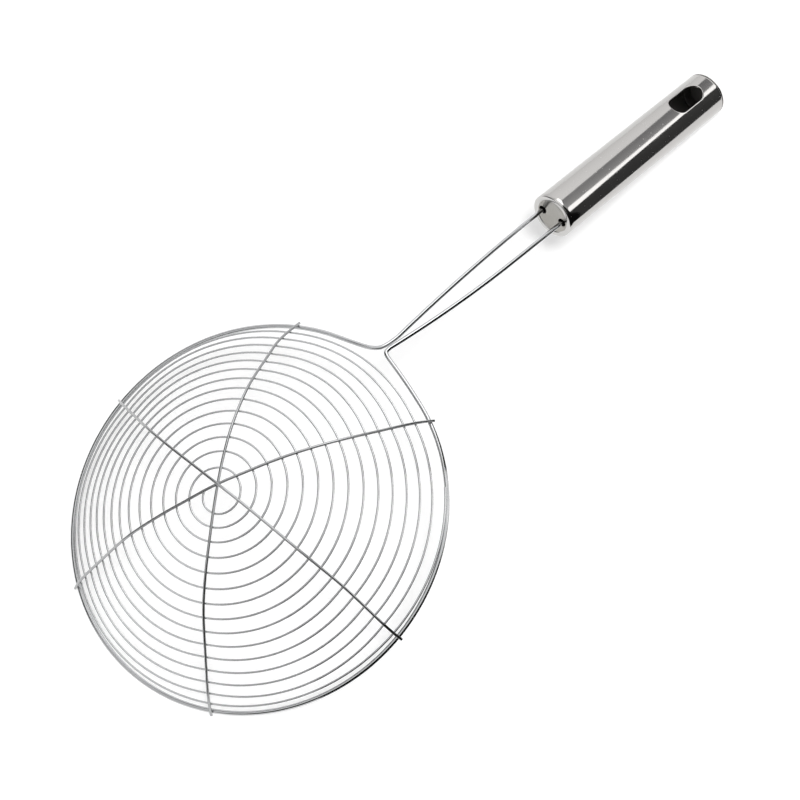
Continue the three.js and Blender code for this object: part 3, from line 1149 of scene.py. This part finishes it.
@dataclass
class Studio:
    """The white table, the lamps, the cards that the steel mirrors, and the camera.

    Lengths are in metres, angles in degrees.
    """

    camera_at: Point3 = (-0.397042, -0.459449, 0.991785)
    camera_turn: Point3 = (30.501251, 5.121689, -47.391973)
    camera_shift: Point2 = (-0.000625, 0.000625)
    lens_mm: float = 99.0
    sensor_mm: float = 36.0
    clip_near: float = 0.05
    clip_far: float = 50.0
    floor_size: float = 12.0
    floor_colour: str = "C8C8C8"
    floor_lift: float = 0.5
    # The table glows less in mirrors than to the camera: painted shade on the table as the steel
    # mirrors it.
    mirrored_lift: float = 0.42
    bright_side: Point3 = (0.689, 0.112, 0.716)
    dim_world: float = 0.356
    bright_world: float = 1.062
    top_box_at: Point3 = (0.466, 0.008, 0.86)
    top_box_size: float = 0.6
    top_box_strength: float = 2.353
    key_from: Point3 = (-0.16, -0.42, 1.0)
    key_spread: float = 16
    key_level: float = 0.65
    fill_from: Point3 = (-0.3, -0.5, 1.0)
    fill_spread: float = 100
    fill_level: float = 0.4
    flag_tail: Point2 = (0.42, -0.0548)
    flag_corner: Point2 = (0.13, -0.0507)
    flag_tail_height: float = 0.0795
    flag_corner_height: float = 0.0563
    flag_tone: str = "404040"
    black_tone: str = "101010"
    dark_tone: str = "272727"
    leg_flag_height: float = 0.186
    bowl_x: float = -0.132
    bowl_flag_radius: float = 0.125
    bowl_flag_angles: tuple[float, ...] = (-38.3, -79.4, -120.6)
    bowl_flag_heights: tuple[float, ...] = (0.03, 0.0535, 0.077)
    grey_card: Corners = (
        (0.6, 0.257, 0.222),
        (0.6, -0.7, 0.457),
        (0.6, -0.7, 1.2),
        (0.6, -0.487, 1.2),
    )
    grey_card_tones: tuple[str, ...] = ("7C7C7E", "BCBCBC", "BCBCBC", "B0B0B0")
    side_box: Corners = wall((1.25, -0.25), (0.7, -0.95), 0.3, 1.1)
    side_box_strength: float = 1.8
    left_card: Corners = wall((-0.121, 0.427), (-0.708, 0.448), 0.006, 0.868)
    near_card: Corners = wall((-0.592, -0.075), (0.287, -0.775), 0.003, 0.43)

    def build(self) -> None:
        """Sets up the table, the world, the lamps and the camera."""
        self.view_settings()
        self.camera()
        self.world()
        self.floor()
        self.lamp("key", self.key_from, self.key_spread, self.key_level)
        self.lamp("fill", self.fill_from, self.fill_spread, self.fill_level)
        for panel in self.panels():
            panel.build()

    def panels(self) -> list[Panel]:
        """Lists the cards that draw the dark and bright bands on the steel.

        Returns:
            The panels, none of which the camera sees.
        """
        turns = [math.radians(angle) for angle in self.bowl_flag_angles]
        reach = self.bowl_flag_radius
        feet = [(self.bowl_x + reach * math.cos(turn), reach * math.sin(turn)) for turn in turns]
        near, middle, far = feet
        near_high, middle_high, far_high = self.bowl_flag_heights
        tail_high, corner_high = self.flag_tail_height, self.flag_corner_height
        handle_flag = wall(self.flag_tail, self.flag_corner, 0, tail_high, corner_high)
        top_box = self.over_table(self.top_box_at, self.top_box_size)
        black, dark, white = (self.black_tone,), (self.dark_tone,), (WHITE,)
        return [
            Panel("handle_flag", handle_flag, (self.flag_tone,)),
            Panel("leg_flag", wall(self.flag_corner, near, 0, self.leg_flag_height), black),
            Panel("bowl_flag_near", wall(near, middle, 0, near_high, middle_high), black),
            Panel("bowl_flag_far", wall(middle, far, 0, middle_high, far_high), black),
            Panel("grey_card", self.grey_card, self.grey_card_tones),
            Panel("top_box", top_box, white, self.top_box_strength),
            Panel("side_box", self.side_box, white, self.side_box_strength),
            Panel("left_card", self.left_card, dark),
            Panel("near_card", self.near_card, dark),
        ]

    def over_table(self, centre: Point3, size: float) -> Corners:
        """Gives the corners of a square panel that faces the middle of the table.

        Args:
            centre: Place of its middle.
            size: Length of a side.

        Returns:
            Four corners in order.
        """
        turn = Vector(centre).to_track_quat("Z", "Y").to_matrix() * (size / 2)
        signs = ((-1, -1), (1, -1), (1, 1), (-1, 1))
        corners = [Vector(centre) + turn @ Vector((across, along, 0)) for across, along in signs]
        return tuple(tuple(corner) for corner in corners)

    def lamp(self, name: str, toward: Point3, spread: float, level: float) -> None:
        """Hangs a far lamp that lights the table and gives the shadow.

        Args:
            name: Name of the lamp.
            toward: Direction from the table to the lamp.
            spread: Width of the lamp as seen from the table, in degrees.
            level: Share of a white table's full brightness that the lamp gives.
        """
        data = bpy.data.lights.new(name, "SUN")
        data.angle = math.radians(spread)
        data.energy = level * math.pi / Vector(toward).normalized().z
        lamp = bpy.data.objects.new(name, data)
        lamp.rotation_euler = Vector(toward).to_track_quat("Z", "Y").to_euler()
        lamp.visible_camera = False
        lamp.visible_glossy = False
        bpy.context.scene.collection.objects.link(lamp)

    def view_settings(self) -> None:
        """Shows colours as they are written."""
        bpy.context.scene.view_settings.view_transform = "Standard"

    def camera(self) -> None:
        """Puts the camera where the photograph was taken from."""
        data = bpy.data.cameras.new("camera")
        data.lens = self.lens_mm
        data.sensor_fit = "HORIZONTAL"
        data.sensor_width = self.sensor_mm
        data.clip_start = self.clip_near
        data.clip_end = self.clip_far
        data.shift_x, data.shift_y = self.camera_shift
        camera = bpy.data.objects.new("camera", data)
        camera.location = self.camera_at
        camera.rotation_euler = [math.radians(angle) for angle in self.camera_turn]
        bpy.context.scene.collection.objects.link(camera)
        bpy.context.scene.camera = camera

    def lift_by_ray(self, tree: bpy.types.NodeTree) -> bpy.types.NodeSocket:
        """Adds nodes that lift the table for the camera and for mirrors alone: to white for the camera,
        and a little less for mirrors, which is painted shade on the table as the steel mirrors it.

        Args:
            tree: Node tree of the table.

        Returns:
            A socket with the strength of the lift.
        """
        rays = add_node(tree, "LightPath").outputs
        mirrored = add_node(
            tree,
            "Math",
            {"operation": "MAXIMUM"},
            {0: rays["Is Glossy Ray"], 1: rays["Is Transmission Ray"]},
        )
        mirror_lift = add_node(
            tree, "Math", {"operation": "MULTIPLY"}, {0: mirrored.outputs[0], 1: self.mirrored_lift}
        )
        lift = add_node(
            tree,
            "Math",
            {"operation": "MULTIPLY_ADD"},
            {0: rays["Is Camera Ray"], 1: self.floor_lift, 2: mirror_lift.outputs[0]},
        )
        return lift.outputs[0]

    def world(self) -> None:
        """Gives the steel a soft surround to mirror, brightest over the handle."""
        world = bpy.data.worlds.new("studio")
        world.use_nodes = True
        tree = world.node_tree
        tree.nodes.clear()
        direction = add_node(tree, "TexCoord").outputs["Generated"]
        towards = add_node(
            tree, "VectorMath", {"operation": "DOT_PRODUCT"}, {0: direction, 1: self.bright_side}
        )
        level = add_node(
            tree,
            "MapRange",
            inputs={
                "Value": towards.outputs["Value"],
                "From Min": -1.0,
                "From Max": 1.0,
                "To Min": self.dim_world,
                "To Max": self.bright_world,
            },
        )
        light = add_node(
            tree, "Background", inputs={"Color": linear(WHITE), "Strength": level.outputs["Result"]}
        )
        add_node(tree, "OutputWorld", inputs={"Surface": light.outputs["Background"]})
        # The lamps light the table, so the world is left to the mirrors.
        world.cycles_visibility.diffuse = False
        bpy.context.scene.world = world

    def floor(self) -> None:
        """Lays the white table, which keeps the soft shadow of the skimmer."""
        bpy.ops.object.select_all(action="DESELECT")
        bpy.ops.mesh.primitive_plane_add(size=self.floor_size, location=(0, 0, 0))
        table = bpy.context.active_object
        table.name = "table"
        material, tree = new_material("white_table")
        lift = self.lift_by_ray(tree)
        matt = add_node(tree, "BsdfDiffuse", inputs={"Color": linear(self.floor_colour)})
        glow = add_node(tree, "Emission", inputs={"Color": linear(WHITE), "Strength": lift})
        both = add_node(tree, "AddShader", inputs={0: matt.outputs[0], 1: glow.outputs[0]})
        add_node(tree, "OutputMaterial", inputs={"Surface": both.outputs[0]})
        table.data.materials.append(material)


def main() -> None:
    """Builds the studio, the bowl and the handle in order."""
    logging.basicConfig(level=logging.INFO, format="%(name)s %(message)s")
    Studio().build()
    bowl = WireBowl()
    bowl.build()
    TubeHandle(place=bowl.handle_place()).build()


if __name__ == "__main__":
    main()
